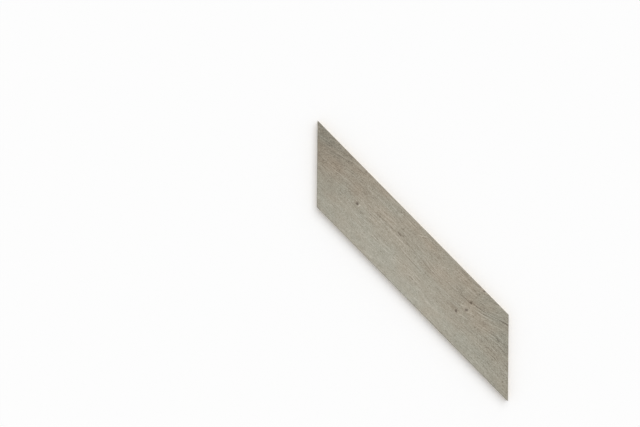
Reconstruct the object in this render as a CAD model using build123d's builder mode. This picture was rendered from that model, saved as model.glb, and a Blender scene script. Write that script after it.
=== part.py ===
"""Chevron parquet plank: one solid oak plank with both ends mitred, grooved all round for loose tongues.

The grain and the two long edges run along X and the plank lies face up on its underside, Z = 0,
with the origin under the middle of the face.
"""

import os
from math import radians, tan

from build123d import *

# Driving dimensions, in millimetres and degrees
face_width = 110.0  # across the grain, from long edge to long edge
tip_length = 600.0  # along the grain, from one sharp tip to the other
mitre_angle = 45.0  # between a mitred end and the long edges
thickness = 15.0
bevel = 1.0  # micro-bevel round the face, which makes a V with the next plank
groove_height = 5.0  # takes a loose tongue of nominally the same thickness
groove_depth = 7.0  # half the width of the loose tongue, and room for glue
upper_lip = 5.5  # from the face down to the groove
lower_lip_setback = 0.3  # keeps the undersides apart, so that the faces close tight
lead_in = 0.4  # eased edges at the mouth of the groove
arris = 0.5  # eased edge round the underside
tolerance = 0.01  # for finding a face by its height

# Sizes that follow from these
end_slant = face_width / tan(radians(mitre_angle))
long_edge = tip_length - end_slant
groove_top = thickness - upper_lip
groove_floor = groove_top - groove_height


def face_outline():
    """Parallelogram of the face: the +Y edge is set towards -X and the -Y edge towards +X."""
    return Polyline(
        (-tip_length / 2, face_width / 2),
        (-tip_length / 2 + long_edge, face_width / 2),
        (tip_length / 2, -face_width / 2),
        (tip_length / 2 - long_edge, -face_width / 2),
        close=True,
    )


def perimeter_band(height, depth):
    """Sketch of the band of that depth that runs round the inside of the outline, at a height."""
    with BuildSketch(Plane.XY.offset(height)) as band:
        with BuildLine():
            face_outline()
        make_face()
        offset(amount=-depth, kind=Kind.INTERSECTION, mode=Mode.SUBTRACT)
    return band.sketch


def outer_rim(part, height):
    """Outer edges of the part's level face at a height."""
    level_faces = part.faces().filter_by(Plane.XY)
    at_height = level_faces.filter_by_position(Axis.Z, height - tolerance, height + tolerance)
    return at_height[0].outer_wire().edges()


with BuildPart() as plank:
    # The blank, sawn to the mitre and planed to thickness
    with BuildSketch():
        with BuildLine():
            face_outline()
        make_face()
    extrude(amount=thickness)

    # The groove, milled along all four edges
    extrude(perimeter_band(groove_floor, groove_depth), amount=groove_height, mode=Mode.SUBTRACT)

    # The lower lip, set back from the face's outline
    extrude(perimeter_band(0, lower_lip_setback), amount=groove_floor, mode=Mode.SUBTRACT)

    # The micro-bevel round the face and the eased edge round the underside
    chamfer(plank.faces().sort_by(Axis.Z)[-1].edges(), bevel)
    chamfer(plank.faces().sort_by(Axis.Z)[0].edges(), arris)

    # The lead-in at the mouth of the groove, under the upper lip and over the lower one
    chamfer(outer_rim(plank, groove_top), lead_in)
    chamfer(outer_rim(plank, groove_floor), lead_in)

plank.part.label = "plank"

os.makedirs("parts", exist_ok=True)
export_step(plank.part, "parts/plank.step")
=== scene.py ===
"""Looks of the chevron parquet plank: one oak plank with a brushed, grey-oiled face and raw planed edges.

Metres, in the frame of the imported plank: X along the grain, Y across it, Z out of the face.
"""

import math

import bpy
import numpy as np
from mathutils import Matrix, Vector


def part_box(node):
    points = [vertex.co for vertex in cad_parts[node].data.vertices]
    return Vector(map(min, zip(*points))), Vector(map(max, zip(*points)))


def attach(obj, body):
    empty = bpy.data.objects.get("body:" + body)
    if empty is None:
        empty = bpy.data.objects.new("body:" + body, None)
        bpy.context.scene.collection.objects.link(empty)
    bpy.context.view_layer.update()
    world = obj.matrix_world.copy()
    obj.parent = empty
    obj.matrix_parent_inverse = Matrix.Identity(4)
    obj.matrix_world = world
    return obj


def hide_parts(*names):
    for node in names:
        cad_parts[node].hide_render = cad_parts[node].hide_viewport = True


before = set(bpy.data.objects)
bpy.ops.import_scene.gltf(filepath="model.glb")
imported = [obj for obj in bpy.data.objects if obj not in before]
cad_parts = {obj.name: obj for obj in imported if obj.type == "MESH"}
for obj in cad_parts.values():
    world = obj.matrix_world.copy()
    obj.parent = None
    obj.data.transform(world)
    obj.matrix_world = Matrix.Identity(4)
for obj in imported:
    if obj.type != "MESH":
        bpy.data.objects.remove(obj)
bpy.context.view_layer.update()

MM = 0.001

# The plank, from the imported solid
plank_low, plank_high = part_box("plank")
LENGTH = plank_high.x - plank_low.x
WIDTH = plank_high.y - plank_low.y
THICKNESS = plank_high.z - plank_low.z
MITRE = math.radians(45)
LONG_EDGE = LENGTH - WIDTH / math.tan(MITRE)

# Its edge, as in the solid
BEVEL = 1.0 * MM
GROOVE_TOP = 9.5 * MM
GROOVE_FLOOR = 4.5 * MM
GROOVE_DEPTH = 7.0 * MM
LIP_SETBACK = 0.3 * MM
LEAD_IN = 0.4 * MM
ARRIS = 0.5 * MM
SOFTENED = 0.15 * MM  # rounding that brushing leaves where the bevel meets the face
SHARP_ANGLE = math.radians(25)  # edges that turn by more than this stay crisp

# Finishes of the surface, and how many strips of the edge, counted from the face, have the face's finish
FINISHED, LONG_GRAIN, END_GRAIN = range(3)
FACE_STRIPS = 3

# Points of the face's grid along and across the grain, about 1.7 by 0.4 mm apart
ALONG = 280
ACROSS = 270

# Brushing: how deep the soft early wood, the pores and the knots are worn below the hard late wood
BRUSHED_DEPTH = 0.12 * MM
PORE_DEPTH = 0.22 * MM
KNOT_DEPTH = 0.18 * MM
RIM = 1.5 * MM  # strip along the bevel over which the brushing fades out

# Growth rings: their least and greatest width, how many there are, and where they are counted from
RING_WIDTHS = (2.0 * MM, 5.2 * MM)
RING_COUNT = 90
RINGS_FROM = -150 * MM
RING_SEED = 7
LATTICE = 512  # points along each side of the random lattices that flecks are drawn from
LINE_FADE = 8 * MM  # half the length over which a drawn line fades at each end

# A knot's heart and halo: where each begins and is full, in half sizes of the knot, and its share
KNOT_HEART = (1.2, 0.55, 0.74)
KNOT_HALO = (2.1, 0.5, 0.26)

# Raw wood: how far its pith line lies towards -Y and below the underside, and the width of its rings
RAW_PITH = (62 * MM, 48 * MM)
RAW_RING = 3.2 * MM

# Depths below the face between which the bevel is darkened with painted shade, as the V joint between two
# planks is shaded
BEVEL_PAINTED_SHADE = (0.4 * MM, 0.8 * MM)

# Knots on the face: place, half length, half width (mm), turn (degrees) and how dark from 0 to 1
KNOTS = np.array([
    (-142.9, 0.9, 3.0, 2.7, -30, 0.86),
    (127.1, 21.6, 2.3, 1.5, -12, 0.60),
    (130.6, 6.9, 3.3, 2.8, 20, 0.80),
    (118.6, -7.5, 3.4, 2.1, -38, 0.84),
    (-49.4, 16.6, 1.8, 1.2, 30, 0.24),
    (129.6, 53.2, 2.6, 1.3, 8, 0.8),
]) * (MM, MM, MM, MM, 1, 1)

# Lines that follow the grain: a point on the line, where it begins and ends along X, half width (mm), tone
GRAIN_LINES = np.array([
    # through the dark knot, and the fan beside it
    (127.0, 21.8, 102, 216, 0.6, -0.50),
    (150.0, 25.0, 136, 188, 0.7, 0.36),
    (150.0, 21.8, 134, 182, 0.6, -0.30),
    (150.0, 19.2, 132, 176, 0.6, 0.30),
    (205.0, 17.0, 188, 208, 0.6, -0.18),
    (205.0, 14.2, 178, 216, 0.6, 0.22),
    (210.0, 10.5, 196, 224, 0.6, -0.16),
    (210.0, 4.5, 180, 226, 0.6, 0.20),
    (212.0, 1.5, 204, 236, 0.6, -0.18),
    (214.0, -4.5, 190, 222, 0.6, -0.12),
    # short of the three knots
    (90.0, 5.0, 48, 112, 0.6, -0.14),
    # near the sharp tip at the left
    (-217.0, 43.2, -244, -178, 0.6, 0.28),
    (-217.0, 40.8, -246, -192, 0.6, -0.16),
    (-230.0, 46.0, -270, -170, 0.6, -0.14),
    (-205.0, 15.6, -228, -186, 0.6, 0.30),
    (-230.0, 2.8, -246, -214, 0.6, 0.26),
    (-215.0, 6.0, -240, -170, 0.6, -0.14),
    (-197.0, -14.0, -202, -192, 1.8, -0.12),
    # beside the lone knot
    (-125.0, 34.8, -152, -95, 0.6, 0.22),
    (-110.0, 5.5, -148, -84, 0.6, 0.22),
    (-118.0, -0.9, -134, -102, 0.6, 0.20),
    # in the middle
    (-75.0, 14.8, -125, 30, 0.6, -0.26),
    (-60.0, 10.6, -93, -27, 0.7, 0.28),
    (-52.0, 16.3, -66, -44, 0.7, -0.10),
    (-70.0, 24.8, -79, -61, 0.6, 0.28),
    (0.0, -0.3, -32, 24, 0.6, 0.24),
    (0.0, -2.4, -30, 20, 0.5, -0.16),
    (20.0, 7.6, -20, 66, 0.6, -0.14),
]) * (MM, MM, MM, MM, MM, 1)

# Short strokes and dashes: both ends, half width (mm) and tone
STROKES = np.array([
    # a pale ray across the grain and the marks beside it
    (-28.0, 38.8, -20.0, 43.0, 0.6, 0.34),
    (-20.0, 43.0, -12.0, 48.8, 0.7, 0.36),
    (-18.0, 41.6, -10.0, 47.2, 0.6, -0.26),
    (-32.0, 35.6, -25.0, 39.6, 0.7, -0.16),
    (-48.0, 17.4, -39.0, 22.4, 0.6, -0.15),
    # dashes in the middle
    (-98.0, 42.0, -85.0, 43.0, 0.7, 0.28),
    (-77.0, 44.0, -70.0, 45.6, 0.7, 0.32),
    (17.0, 35.2, 31.0, 36.2, 0.4, -0.26),
    (18.0, 38.0, 33.0, 39.0, 0.4, -0.26),
    (20.0, 40.8, 30.0, 41.8, 0.4, -0.24),
    (20.0, 42.8, 34.0, 44.0, 0.5, 0.22),
    (45.0, 30.5, 55.0, 35.5, 0.8, 0.26),
    (28.0, 0.3, 43.0, 0.6, 0.6, -0.28),
    (63.0, -3.9, 75.0, -3.6, 0.6, -0.28),
    (16.0, -24.0, 23.0, -23.8, 0.8, -0.36),
    (-84.0, -10.8, -60.0, -11.2, 0.5, -0.20),
    (-81.0, -17.0, -70.0, -17.8, 0.5, -0.22),
    (-82.0, -21.0, -72.0, -21.6, 0.5, -0.22),
    # round the three knots and towards the right end
    (84.0, 15.5, 104.0, 21.4, 0.6, -0.26),
    (123.0, 39.0, 131.0, 49.0, 0.7, -0.20),
    (208.0, 9.6, 213.0, 7.6, 0.9, -0.34),
    (176.0, -2.0, 190.0, -1.6, 0.5, 0.26),
    (184.0, -5.0, 198.0, -4.4, 0.5, -0.24),
    (180.0, -9.0, 192.0, -8.6, 0.5, 0.24),
    (212.0, -8.6, 226.0, -8.4, 0.5, 0.26),
    (196.0, -11.4, 210.0, -11.2, 0.5, 0.22),
    (190.0, -26.0, 206.0, -26.2, 0.5, 0.20),
    (202.0, -14.0, 234.0, -13.2, 0.5, -0.18),
    (206.0, -18.0, 236.0, -18.6, 0.5, -0.18),
    (200.0, -22.2, 226.0, -22.0, 0.5, -0.16),
]) * (MM, MM, MM, MM, MM, 1)

# Patches where the grey stain took browner (+) or greyer (-): place, half length, half width (mm), how much
STAINS = np.array([
    (60, 20, 34, 14, 0.50),
    (85, 45, 32, 9, 0.48),
    (5, 41, 30, 9, 0.40),
    (148, 8, 24, 12, 0.48),
    (-165, 19, 16, 10, 0.42),
    (-225, 24, 30, 9, 0.50),
    (-130, 50, 42, 6, 0.42),
    (275, -42, 18, 12, 0.40),
    (218, 18, 40, 24, -0.52),
    (-40, -2, 60, 14, 0.16),
    (-110, -12, 60, 12, -0.18),
]) * (MM, MM, MM, MM, 1)

# The photograph: its frame in pixels, and where the plank's middle and its grain lie in it
PHOTO_WIDTH = 640
PHOTO_HEIGHT = 427
PLANK_AT_PIXEL = (412.8, 260.9)
GRAIN_TURN = math.radians(45.48)
TIP_TO_TIP_PIXELS = 333.7
CAMERA_HEIGHT = 3.0  # metres above the face
SENSOR_WIDTH = 36.0  # millimetres, as the camera has it

# Light: the share that comes from all round, the rest being the lamp's, then the lamp's tilt from straight
# down, its turn from the top of the photograph towards +Y and how far it spreads
AMBIENT = 0.62
LAMP_TILT = math.radians(32)
LAMP_OFF_TOP = math.radians(20)
LAMP_SPREAD = math.radians(60)

FLOOR_HALF_SIDE = 6.0  # metres


def smooth_step(start, end, value):
    """0 before start, 1 after end, and a cubic ease between them."""
    share = np.clip((value - start) / (end - start), 0.0, 1.0)
    return share * share * (3 - 2 * share)


def plan(s, t, inset):
    """Point of the face's outline moved inwards by inset: s runs along the grain, t across, from 0 to 1.

    Y goes from long edge to long edge, and X from mitre to mitre at that Y.
    """
    y = (WIDTH / 2 - inset) * (2 * t - 1)
    left = -LENGTH / 2 + (WIDTH / 2 - y) / math.tan(MITRE) + inset / math.sin(MITRE)
    run = LONG_EDGE - 2 * inset / math.sin(MITRE)
    return left + run * s, y


def flecks(x, across, length, width, seed):
    """Random flecks from 0 to 1, about that long and wide: random numbers on a lattice, eased between."""
    lattice = np.random.default_rng(seed).random((LATTICE, LATTICE))
    u, v = x / length + LATTICE / 2, across / width + LATTICE / 2
    column, row = np.floor(u).astype(int), np.floor(v).astype(int)
    u, v = smooth_step(0, 1, u - column), smooth_step(0, 1, v - row)
    corners = [lattice[(column + i) % LATTICE, (row + j) % LATTICE] for i in (0, 1) for j in (0, 1)]
    lower = corners[0] * (1 - u) + corners[2] * u
    upper = corners[1] * (1 - u) + corners[3] * u
    return lower * (1 - v) + upper * v


def across_grain(x, y):
    """Where a point lies across the grain: Y, shifted so that lines of equal value are the grain's lines.

    Near the left mitre the lines climb from left to right, past the three knots they fan out upwards,
    each knot parts them, and a slow sine wave and random wandering keep them from being straight.
    """
    climb = 30 * MM * smooth_step(-165 * MM, -310 * MM, x) * smooth_step(-30 * MM, 48 * MM, y)
    fan = 27 * MM * smooth_step(108 * MM, 225 * MM, x) * np.clip((y + 50 * MM) / (95 * MM), 0, 1)
    slow = 0.9 * MM * np.sin(x / (34 * MM) + y / (40 * MM))
    wander = 2.6 * MM * (flecks(x, y, 40 * MM, 12 * MM, 10) - 0.5)
    value = y + climb - fan + slow + wander
    for knot_x, knot_y, half_length, half_width, _, _ in KNOTS:
        away_x = (x - knot_x) / (4.5 * half_length)
        away_y = (y - knot_y) / half_width
        value = value - 1.3 * half_width * np.tanh(away_y) * np.exp(-away_x**2 - (away_y / 4) ** 2)
    return value


def growth_rings(across):
    """Running number of growth rings up to a place across the grain: rings of uneven width, added up."""
    widths = np.random.default_rng(RING_SEED).uniform(*RING_WIDTHS, RING_COUNT)
    return np.interp(across, RINGS_FROM + np.cumsum(widths), np.arange(RING_COUNT))


def drawn_lines(x, y, across):
    """Tone of the drawn lines and strokes: each a soft band about its line, and the lines are broken up."""
    tone = np.zeros_like(x)
    for seed, (on_x, on_y, start, end, half_width, strength) in enumerate(GRAIN_LINES):
        off_line = (across - across_grain(np.array(on_x), np.array(on_y))) / half_width
        begun = smooth_step(start - LINE_FADE, start + LINE_FADE, x)
        ended = smooth_step(end - LINE_FADE, end + LINE_FADE, x)
        broken = 0.7 + 0.5 * flecks(x, np.zeros_like(x), 5 * MM, MM, 40 + seed)
        tone += strength * begun * (1 - ended) * broken * np.exp(-off_line**2)
    for from_x, from_y, to_x, to_y, half_width, strength in STROKES:
        run_x, run_y = to_x - from_x, to_y - from_y
        share = np.clip(((x - from_x) * run_x + (y - from_y) * run_y) / (run_x**2 + run_y**2), 0, 1)
        off_line = np.hypot(x - from_x - share * run_x, y - from_y - share * run_y) / half_width
        tone += strength * np.exp(-off_line**2)
    return tone


def grain(x, y):
    """What the grain gives each point: place across the grain, tone, warmth of hue and depth brushed away.

    Tone adds up the ends and the +Y side (darker), the -Y side (paler), slow bands, early wood, dark pores
    and pale flecks that come in clusters, and the drawn lines. Warmth adds up the paler side and the sharp
    tip (greyer), random patches, the drawn patches, and a halo round each knot. Pores, early wood, dark
    lines and knots are also sunk.
    """
    across = across_grain(x, y)
    ring = growth_rings(across) + 0.5 * flecks(x, across, 22 * MM, 3 * MM, 11)
    phase = ring - np.floor(ring)
    early_wood = (1 - smooth_step(0.0, 0.5, phase)) * smooth_step(0.0, 0.1, phase)
    early_wood = early_wood * smooth_step(0.3, 0.8, flecks(x, across, 35 * MM, 4 * MM, 12))

    pale_side = smooth_step(12 * MM, -45 * MM, y)
    left_end = smooth_step(-70 * MM, -300 * MM, x)
    right_end = smooth_step(40 * MM, 230 * MM, x)
    right_tip = smooth_step(230 * MM, 290 * MM, x)
    sharp_tip = smooth_step(-190 * MM, -280 * MM, x) * smooth_step(15 * MM, 50 * MM, y)
    upper_side = smooth_step(8 * MM, 35 * MM, y) * (1 - right_end)

    # Pores and pale flecks are drawn 1 mm wide, coarser than in the wood, so that they show from afar
    clusters = 0.45 + 0.55 * flecks(x, across, 38 * MM, 12 * MM, 13)
    clusters = clusters * (1 - 0.25 * pale_side - 0.3 * left_end)
    pores = clusters * smooth_step(0.62, 0.82, flecks(x, across, 16 * MM, 1.0 * MM, 14))
    pale = clusters * smooth_step(0.64, 0.82, flecks(x, across, 22 * MM, 1.0 * MM, 15))
    bands = flecks(x, across, 90 * MM, 9 * MM, 16) + flecks(x, across, 40 * MM, 5 * MM, 17) - 1.0
    lines = drawn_lines(x, y, across)

    tone = 0.555 + 0.09 * pale_side - 0.05 * upper_side
    tone = tone - 0.21 * left_end - 0.06 * sharp_tip
    tone = tone - (0.17 - 0.04 * pale_side) * right_end - 0.07 * right_tip
    tone = tone + 0.03 * bands - 0.04 * early_wood - 0.14 * pores + 0.21 * pale + lines
    hue = flecks(x, across, 45 * MM, 22 * MM, 18) + 0.6 * flecks(x, across, 20 * MM, 9 * MM, 19) - 0.8
    warmth = 0.47 - 0.24 * pale_side - 0.15 * sharp_tip + 0.50 * hue
    for patch_x, patch_y, half_length, half_width, change in STAINS:
        distance = ((x - patch_x) / half_length) ** 2 + ((y - patch_y) / half_width) ** 2
        warmth = warmth + change * np.exp(-distance)

    sunk = BRUSHED_DEPTH * early_wood + PORE_DEPTH * np.maximum(pores, np.clip(-3 * lines, 0, 1))
    for knot_x, knot_y, half_length, half_width, _, darkness in KNOTS:
        distance = ((x - knot_x) / half_length) ** 2 + ((y - knot_y) / half_width) ** 2
        sunk = np.maximum(sunk, KNOT_DEPTH * darkness * np.exp(-distance))
        warmth = warmth + 0.5 * darkness**2 * np.exp(-distance / 14)
    return across, tone, np.clip(warmth, 0, 1), sunk


def edge_profile():
    """Inset and height of the edge's section, from the face down to the underside.

    The softened bevel comes first, then the upper lip, the groove and the lower lip.
    """
    down_bevel = 0.7 * SOFTENED  # the rounding's run down a slope of 45 degrees
    return [
        (BEVEL + SOFTENED, THICKNESS),
        (BEVEL - down_bevel, THICKNESS - down_bevel),
        (down_bevel, THICKNESS - BEVEL + down_bevel),
        (0, THICKNESS - BEVEL - SOFTENED),
        (0, GROOVE_TOP + LEAD_IN),
        (LEAD_IN, GROOVE_TOP),
        (GROOVE_DEPTH, GROOVE_TOP),
        (GROOVE_DEPTH, GROOVE_FLOOR),
        (LIP_SETBACK + LEAD_IN, GROOVE_FLOOR),
        (LIP_SETBACK, GROOVE_FLOOR - LEAD_IN),
        (LIP_SETBACK, ARRIS),
        (LIP_SETBACK + ARRIS, 0),
    ]


def plank_surface():
    """Closed surface of the plank, as points, faces and a finish for each face.

    The face is a grid over s and t, sunk by the brushing but not at its rim. The edge is its section carried
    round the outline, with the grid's border as its first ring. The underside is strips from long edge to
    long edge.
    """
    profile = edge_profile()
    s, t = np.meshgrid(np.linspace(0, 1, ALONG), np.linspace(0, 1, ACROSS), indexing="ij")
    x, y = plan(s, t, profile[0][0])
    from_end = np.minimum(s, 1 - s) * LONG_EDGE * math.sin(MITRE)
    from_side = np.minimum(t, 1 - t) * WIDTH
    brushed = smooth_step(0, RIM, np.minimum(from_end, from_side))
    z = THICKNESS - brushed * grain(x, y)[-1]
    face_points = np.stack([x, y, z], axis=-1).reshape(-1, 3)

    index = np.arange(ALONG * ACROSS).reshape(ALONG, ACROSS)
    border = np.concatenate([index[:-1, 0], index[-1, :-1], index[:0:-1, -1], index[0, :0:-1]])
    border_s, border_t = s.ravel()[border], t.ravel()[border]
    count = len(border)
    rings = [border]
    points = [face_points]
    for number, (inset, height) in enumerate(profile[1:]):
        ring_x, ring_y = plan(border_s, border_t, inset)
        points.append(np.stack([ring_x, ring_y, np.full(count, height)], axis=-1))
        rings.append(ALONG * ACROSS + number * count + np.arange(count))
    rings = np.array(rings)

    corners = [index[:-1, :-1], index[1:, :-1], index[1:, 1:], index[:-1, 1:]]
    face_quads = np.stack(corners, axis=-1).reshape(-1, 4)
    after = np.roll(rings, -1, axis=1)
    edge_quads = np.stack([rings[:-1], rings[1:], after[1:], after[:-1]], axis=-1)
    half_way_round = ALONG + ACROSS - 2
    on_end = np.arange(count) % half_way_round >= ALONG - 1
    edge_finish = np.where(on_end, END_GRAIN, LONG_GRAIN) * np.ones((len(edge_quads), 1), int)
    edge_finish[:FACE_STRIPS] = FINISHED

    last = rings[-1]
    near = last[: ALONG]
    far = last[ALONG + ACROSS - 2 : 2 * ALONG + ACROSS - 2][::-1]
    right_end = last[ALONG - 1 : ALONG + ACROSS - 1]
    left_end = np.append(last[2 * ALONG + ACROSS - 3 :], last[0])
    strips = np.stack([near[1:-2], far[1:-2], far[2:-1], near[2:-1]], axis=-1)
    left_strip = [near[1], *left_end[::-1], far[1]]
    right_strip = [far[-2], *right_end[::-1], near[-2]]

    quads = np.concatenate([face_quads, edge_quads.reshape(-1, 4), strips])
    faces = quads.tolist() + [[int(v) for v in left_strip], [int(v) for v in right_strip]]
    finish = np.concatenate([
        np.full(len(face_quads), FINISHED),
        edge_finish.ravel(),
        np.full(len(strips) + 2, LONG_GRAIN),
    ])
    return np.concatenate(points), faces, finish


def linear(hex_colour):
    """Linear colour, with alpha 1, of an sRGB hex value."""
    parts = [int(hex_colour[i : i + 2], 16) / 255 for i in (0, 2, 4)]
    return [p / 12.92 if p <= 0.04045 else ((p + 0.055) / 1.055) ** 2.4 for p in parts] + [1.0]


def add(tree, kind, inputs=None, stops=None, **settings):
    """Adds a node with its settings. An input is a value, or another node's output to link from.

    Stops, for a colour ramp, are pairs of a place and an sRGB hex value.
    """
    node = tree.nodes.new(kind)
    for name, value in settings.items():
        setattr(node, name, value)
    for socket, value in (inputs or {}).items():
        if isinstance(value, bpy.types.NodeSocket):
            tree.links.new(value, node.inputs[socket])
        else:
            node.inputs[socket].default_value = value
    for number, (place, colour) in enumerate(stops or []):
        elements = node.color_ramp.elements
        element = elements[number] if number < len(elements) else elements.new(place)
        element.position = place
        element.color = linear(colour)
    return node


def new_material(name):
    """Empty node material, with its output and a Principled shader joined to it."""
    material = bpy.data.materials.new(name)
    material.use_nodes = True
    tree = material.node_tree
    tree.nodes.clear()
    shader = add(tree, "ShaderNodeBsdfPrincipled")
    add(tree, "ShaderNodeOutputMaterial", {"Surface": shader.outputs["BSDF"]})
    return material, tree, shader


def weighted_sum(tree, start, terms):
    """One value: start, plus each term's output times its weight."""
    total = start
    for output, weight in terms:
        inputs = {0: output, 1: weight, 2: total}
        total = add(tree, "ShaderNodeMath", inputs, operation="MULTIPLY_ADD").outputs[0]
    return total


def streaks(tree, vector, length, width, detail=2.0, offset=0.0):
    """Noise about 0, drawn out along the grain: each fleck about that long and wide."""
    scale = (1 / length, 1 / width, 1 / width)
    placing = {"Vector": vector, "Location": (offset, offset, offset), "Scale": scale}
    mapped = add(tree, "ShaderNodeMapping", placing)
    noise = add(tree, "ShaderNodeTexNoise", {"Vector": mapped.outputs[0], "Scale": 1.0, "Detail": detail})
    return add(tree, "ShaderNodeMath", {0: noise.outputs["Fac"], 1: 0.5}, operation="SUBTRACT").outputs[0]


def knot_shade(tree, position):
    """How much of a knot's colour a point has: a crisp ellipse in a soft, wider halo, frayed by noise."""
    noise = add(tree, "ShaderNodeTexNoise", {"Vector": position, "Scale": 1 / (3 * MM), "Detail": 2.0})
    halves = {0: noise.outputs["Color"], 1: (0.5, 0.5, 0.5)}
    centred = add(tree, "ShaderNodeVectorMath", halves, operation="SUBTRACT")
    fray = add(tree, "ShaderNodeVectorMath", {0: centred.outputs[0], "Scale": 2.0 * MM}, operation="SCALE")
    frayed = add(tree, "ShaderNodeVectorMath", {0: position, 1: fray.outputs[0]}, operation="ADD").outputs[0]
    shades = []
    for knot_x, knot_y, half_length, half_width, turn, darkness in KNOTS:
        ellipse = {
            "Vector": frayed,
            "Location": (knot_x, knot_y, THICKNESS),
            "Rotation": (0, 0, math.radians(turn)),
            "Scale": (half_length, half_width, THICKNESS),
        }
        local = add(tree, "ShaderNodeMapping", ellipse, vector_type="TEXTURE")
        length = add(tree, "ShaderNodeVectorMath", {0: local.outputs[0]}, operation="LENGTH")
        distance = length.outputs["Value"]
        for begins, full, share in (KNOT_HEART, KNOT_HALO):
            inwards = {"Value": distance, "From Min": begins, "From Max": full}
            shade = add(tree, "ShaderNodeMapRange", inwards, interpolation_type="SMOOTHSTEP")
            shades.append((shade.outputs["Result"], share * darkness))
    return weighted_sum(tree, 0.0, shades)


def oiled_face():
    """European oak, wire-brushed, stained grey and finished with a matt hard oil.

    That gives a flat grey-beige with little gloss, fine broken pore lines along the grain that are darker
    where the stain gathers, paler late wood beside them, and dark pin knots.
    """
    material, tree, shader = new_material("grey_oiled_brushed_oak")
    position = add(tree, "ShaderNodeTexCoord").outputs["Object"]
    axis = add(tree, "ShaderNodeSeparateXYZ", {"Vector": position})
    across = add(tree, "ShaderNodeAttribute", attribute_name="across_grain").outputs["Fac"]
    broad_tone = add(tree, "ShaderNodeAttribute", attribute_name="tone").outputs["Fac"]
    warmth = add(tree, "ShaderNodeAttribute", attribute_name="warmth").outputs["Fac"]
    along = add(tree, "ShaderNodeCombineXYZ", {"X": axis.outputs["X"], "Y": across, "Z": 0.0}).outputs[0]

    # Fibres and pores are 0.1 to 0.3 mm wide in the wood. The fine ones have that width, and the others
    # are drawn about four times as coarse so that they show from afar.
    fine = streaks(tree, along, 8 * MM, 0.3 * MM, detail=1.0, offset=9.0)
    fibre = streaks(tree, along, 22 * MM, 1.2 * MM, detail=3.0)
    pore_noise = streaks(tree, along, 5 * MM, 0.7 * MM, detail=1.0, offset=3.0)
    pore_range = {"Value": pore_noise, "From Min": 0.08, "From Max": 0.20}
    pores = add(tree, "ShaderNodeMapRange", pore_range, interpolation_type="SMOOTHSTEP").outputs["Result"]
    speckle = streaks(tree, along, 3.0 * MM, 1.1 * MM, detail=2.0, offset=6.0)
    knots = knot_shade(tree, position)
    # Painted shade: the bevel is darkened as the V joint between two planks would shade it
    starts, ends = (THICKNESS - depth for depth in BEVEL_PAINTED_SHADE)
    bevel_painted_shade_range = {"Value": axis.outputs["Z"], "From Min": starts, "From Max": ends}
    bevel_painted_shade = add(tree, "ShaderNodeMapRange", bevel_painted_shade_range, interpolation_type="SMOOTHSTEP").outputs["Result"]
    parts = [(fine, 0.6), (fibre, 0.65), (speckle, 1.05), (pores, -0.24), (bevel_painted_shade, -0.45)]
    tone = weighted_sum(tree, broad_tone, parts)
    cool = add(tree, "ShaderNodeValToRGB", {"Fac": tone}, stops=[
        (0.0, "645E52"), (1.0, "C0BDB1"), (0.35, "928E80"), (0.55, "A09D8F"), (0.75, "AEAB9E"),
    ])
    warm = add(tree, "ShaderNodeValToRGB", {"Fac": tone}, stops=[
        (0.0, "665A49"), (1.0, "C4BBAA"), (0.35, "958978"), (0.55, "A49988"), (0.75, "B2A898"),
    ])
    wood = add(tree, "ShaderNodeMix", {0: warmth, 6: cool.outputs[0], 7: warm.outputs[0]}, data_type="RGBA")
    colour = add(tree, "ShaderNodeMix", {0: knots, 6: wood.outputs[2], 7: linear("54493C")}, data_type="RGBA")

    roughness = weighted_sum(tree, 0.68, [(broad_tone, -0.12), (pores, 0.15), (knots, -0.12)])
    heights = [(fine, 0.06 * MM), (fibre, 0.40 * MM), (speckle, 0.22 * MM), (pores, -0.16 * MM)]
    relief = weighted_sum(tree, 0.0, heights)
    bump = add(tree, "ShaderNodeBump", {"Height": relief, "Distance": 1.0, "Strength": 1.0})
    tree.links.new(colour.outputs[2], shader.inputs["Base Color"])
    tree.links.new(roughness, shader.inputs["Roughness"])
    tree.links.new(bump.outputs[0], shader.inputs["Normal"])
    shader.inputs["IOR"].default_value = 1.46
    return material


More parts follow.
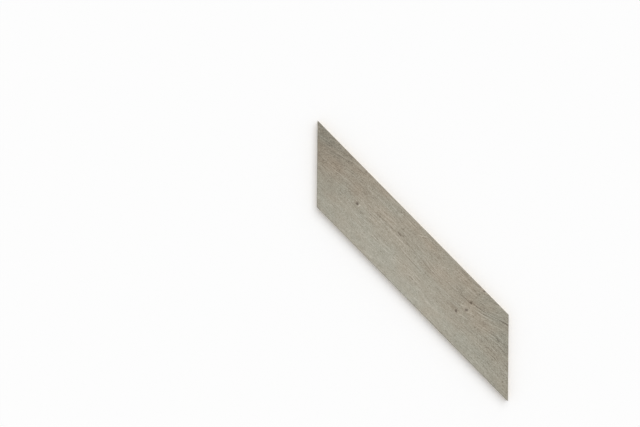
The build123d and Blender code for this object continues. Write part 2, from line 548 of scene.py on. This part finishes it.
def raw_oak(name, pore_length):
    """European oak, planed and left raw: pale straw brown, dull, with pores of that length along the grain.

    Rings are shells about a pith line beyond and below the -Y edge, so they run straight on the edges and
    the underside and bend over on the mitres, where the pores are cut short.
    """
    material, tree, shader = new_material(name)
    position = add(tree, "ShaderNodeTexCoord").outputs["Object"]
    pith = {"Vector": position, "Location": (0, *RAW_PITH), "Scale": (0.02, 1.0, 1.0)}
    from_pith = add(tree, "ShaderNodeMapping", pith).outputs[0]
    radius = add(tree, "ShaderNodeVectorMath", {0: from_pith}, operation="LENGTH").outputs["Value"]
    wobble = streaks(tree, position, 80 * MM, 18 * MM)
    ring = weighted_sum(tree, 0.0, [(radius, 1 / RAW_RING), (wobble, 1.6)])
    phase = add(tree, "ShaderNodeMath", {0: ring}, operation="FRACT").outputs[0]
    early_range = {"Value": phase, "From Min": 0.5, "From Max": 0.0}
    early = add(tree, "ShaderNodeMapRange", early_range, interpolation_type="SMOOTHSTEP")
    early_wood = early.outputs["Result"]
    pore_noise = streaks(tree, position, pore_length, 0.6 * MM, detail=1.0)
    pore_range = {"Value": pore_noise, "From Min": 0.08, "From Max": 0.24, "To Max": early_wood}
    pores = add(tree, "ShaderNodeMapRange", pore_range, interpolation_type="SMOOTHSTEP").outputs["Result"]
    fibre = streaks(tree, position, 5 * pore_length, 1.5 * MM, detail=3.0, offset=4.0)
    tone = weighted_sum(tree, 0.72, [(early_wood, -0.22), (pores, -0.35), (fibre, 0.45)])
    colour = add(tree, "ShaderNodeValToRGB", {"Fac": tone}, stops=[
        (0.0, "86735A"), (1.0, "D9CCB4"), (0.4, "AE9C7E"), (0.75, "C8B99D"),
    ])
    relief = weighted_sum(tree, 0.0, [(pores, -0.08 * MM), (fibre, 0.05 * MM)])
    bump = add(tree, "ShaderNodeBump", {"Height": relief, "Distance": 1.0, "Strength": 1.0})
    tree.links.new(colour.outputs[0], shader.inputs["Base Color"])
    tree.links.new(bump.outputs[0], shader.inputs["Normal"])
    shader.inputs["Roughness"].default_value = 0.75
    shader.inputs["IOR"].default_value = 1.45
    return material


def add_plank():
    """The plank as one closed mesh with its three finishes, in place of the plain solid."""
    points, faces, finish = plank_surface()
    mesh = bpy.data.meshes.new("oak_plank")
    mesh.from_pydata(points.tolist(), [], faces)
    mesh.polygons.foreach_set("material_index", finish.astype(np.int32))
    mesh.polygons.foreach_set("use_smooth", np.ones(len(faces), bool))
    across, tone, warmth, _ = grain(points[:, 0], points[:, 1])
    for name, values in (("across_grain", across), ("tone", tone), ("warmth", warmth)):
        mesh.attributes.new(name, "FLOAT", "POINT").data.foreach_set("value", values.astype(np.float32))
    mesh.materials.append(oiled_face())
    mesh.materials.append(raw_oak("raw_oak_long_grain", 8 * MM))
    mesh.materials.append(raw_oak("raw_oak_end_grain", 0.8 * MM))
    mesh.set_sharp_from_angle(angle=SHARP_ANGLE)
    mesh.validate()
    plank = bpy.data.objects.new("oak_plank", mesh)
    bpy.context.scene.collection.objects.link(plank)
    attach(plank, "root")
    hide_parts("plank")


def add_floor():
    """Matt white floor under the plank, which takes its shadow."""
    half = FLOOR_HALF_SIDE
    corners = [(-half, -half, 0), (half, -half, 0), (half, half, 0), (-half, half, 0)]
    mesh = bpy.data.meshes.new("floor")
    mesh.from_pydata(corners, [], [(0, 1, 2, 3)])
    material, _, shader = new_material("matt_white_floor")
    shader.inputs["Base Color"].default_value = linear("FDFDFD")
    shader.inputs["Roughness"].default_value = 1.0
    shader.inputs["Specular IOR Level"].default_value = 0.0
    mesh.materials.append(material)
    floor = bpy.data.objects.new("floor", mesh)
    bpy.context.scene.collection.objects.link(floor)


def add_light():
    """Even white surroundings, and one broad soft lamp from near the top of the photograph."""
    world = bpy.data.worlds.new("studio")
    world.use_nodes = True
    tree = world.node_tree
    path = add(tree, "ShaderNodeLightPath")
    kinds = [(path.outputs[name], 1.0) for name in ("Is Camera Ray", "Is Glossy Ray", "Is Transmission Ray")]
    seen = weighted_sum(tree, 0.0, kinds)
    strength = add(tree, "ShaderNodeMapRange", {"Value": seen, "To Min": AMBIENT, "To Max": 1.0})
    background = tree.nodes["Background"]
    background.inputs["Color"].default_value = (1, 1, 1, 1)
    tree.links.new(strength.outputs["Result"], background.inputs["Strength"])
    bpy.context.scene.world = world
    lamp = bpy.data.lights.new("soft_lamp", "SUN")
    lamp.energy = math.pi * (1 - AMBIENT) / math.cos(LAMP_TILT)
    lamp.angle = LAMP_SPREAD
    holder = bpy.data.objects.new("soft_lamp", lamp)
    holder.rotation_euler = (-LAMP_TILT, 0, GRAIN_TURN - LAMP_OFF_TOP)
    bpy.context.scene.collection.objects.link(holder)


def add_camera():
    """Camera straight above the middle of the photograph's frame, turned so that the grain runs as there."""
    pixel = LENGTH / TIP_TO_TIP_PIXELS
    right = (PHOTO_WIDTH / 2 - PLANK_AT_PIXEL[0]) * pixel
    up = (PLANK_AT_PIXEL[1] - PHOTO_HEIGHT / 2) * pixel
    cosine, sine = math.cos(GRAIN_TURN), math.sin(GRAIN_TURN)
    data = bpy.data.cameras.new("camera")
    data.sensor_width = SENSOR_WIDTH
    data.lens = SENSOR_WIDTH * CAMERA_HEIGHT / (PHOTO_WIDTH * pixel)
    camera = bpy.data.objects.new("camera", data)
    camera.location = (right * cosine - up * sine, right * sine + up * cosine, THICKNESS + CAMERA_HEIGHT)
    camera.rotation_euler = (0, 0, GRAIN_TURN)
    bpy.context.scene.collection.objects.link(camera)
    bpy.context.scene.camera = camera


add_plank()
add_floor()
add_light()
add_camera()
bpy.context.scene.view_settings.view_transform = "Standard"
